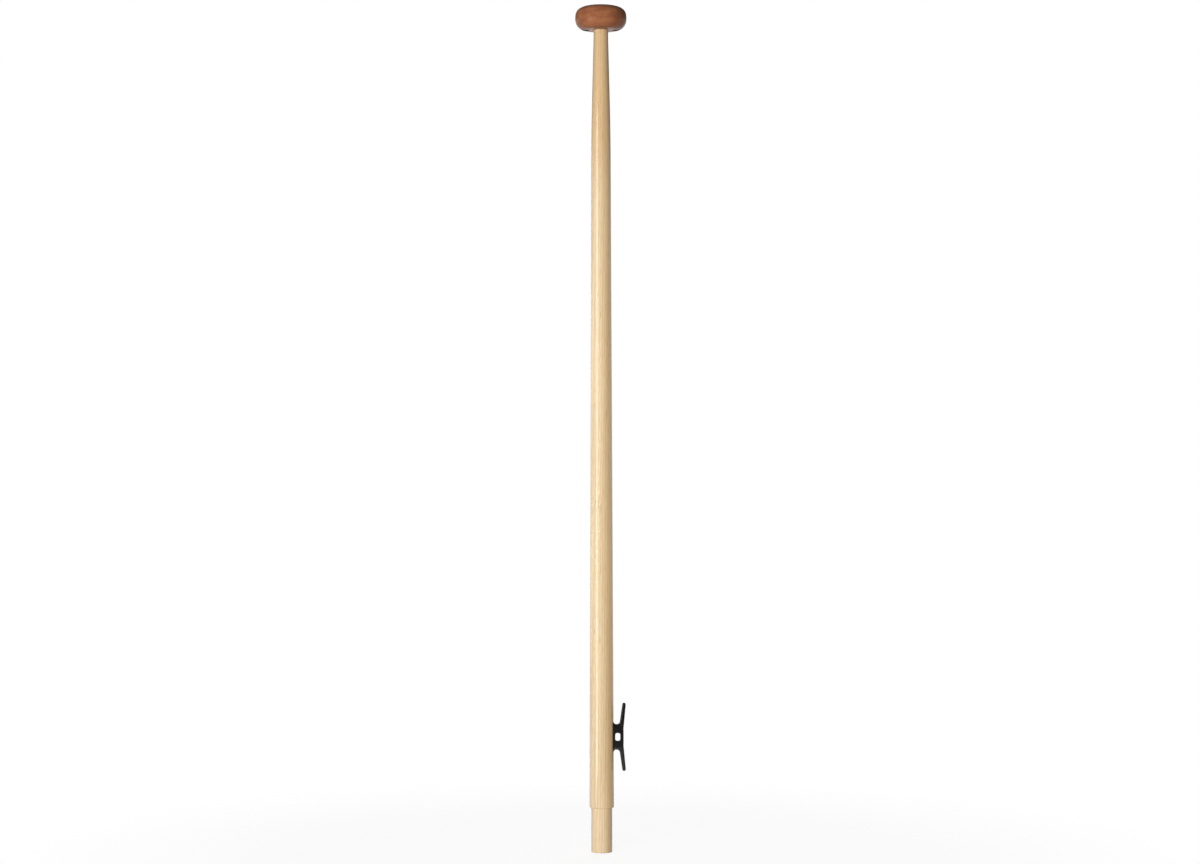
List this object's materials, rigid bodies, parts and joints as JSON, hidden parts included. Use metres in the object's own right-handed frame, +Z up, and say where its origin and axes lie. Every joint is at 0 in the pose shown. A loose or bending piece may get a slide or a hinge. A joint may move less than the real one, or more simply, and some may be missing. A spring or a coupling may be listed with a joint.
{
  "type": "boat flagstaff",
  "caption": "Tapered wooden boat flagstaff with a stepped heel for a deck socket, a bun-shaped truck bored for a halyard, and a horn cleat screwed to its side.",
  "frame": {"origin": "centre of the heel's end face", "axes": "+Z up along the staff to the truck, +X towards the cleat"},
  "size_m": [0.0726, 0.0726, 1.2],
  "materials": {
    "varnished_ash": "gloss varnish",
    "varnished_mahogany": "satin varnish",
    "black_nylon": "moulded, satin",
    "stainless_steel": "plain"
  },
  "bodies": {
    "root": {"staff": "varnished_ash", "truck": "varnished_mahogany", "cleat": "black_nylon", "cleat_screw_upper": "stainless_steel", "cleat_screw_lower": "stainless_steel"}
  },
  "joints": []
}
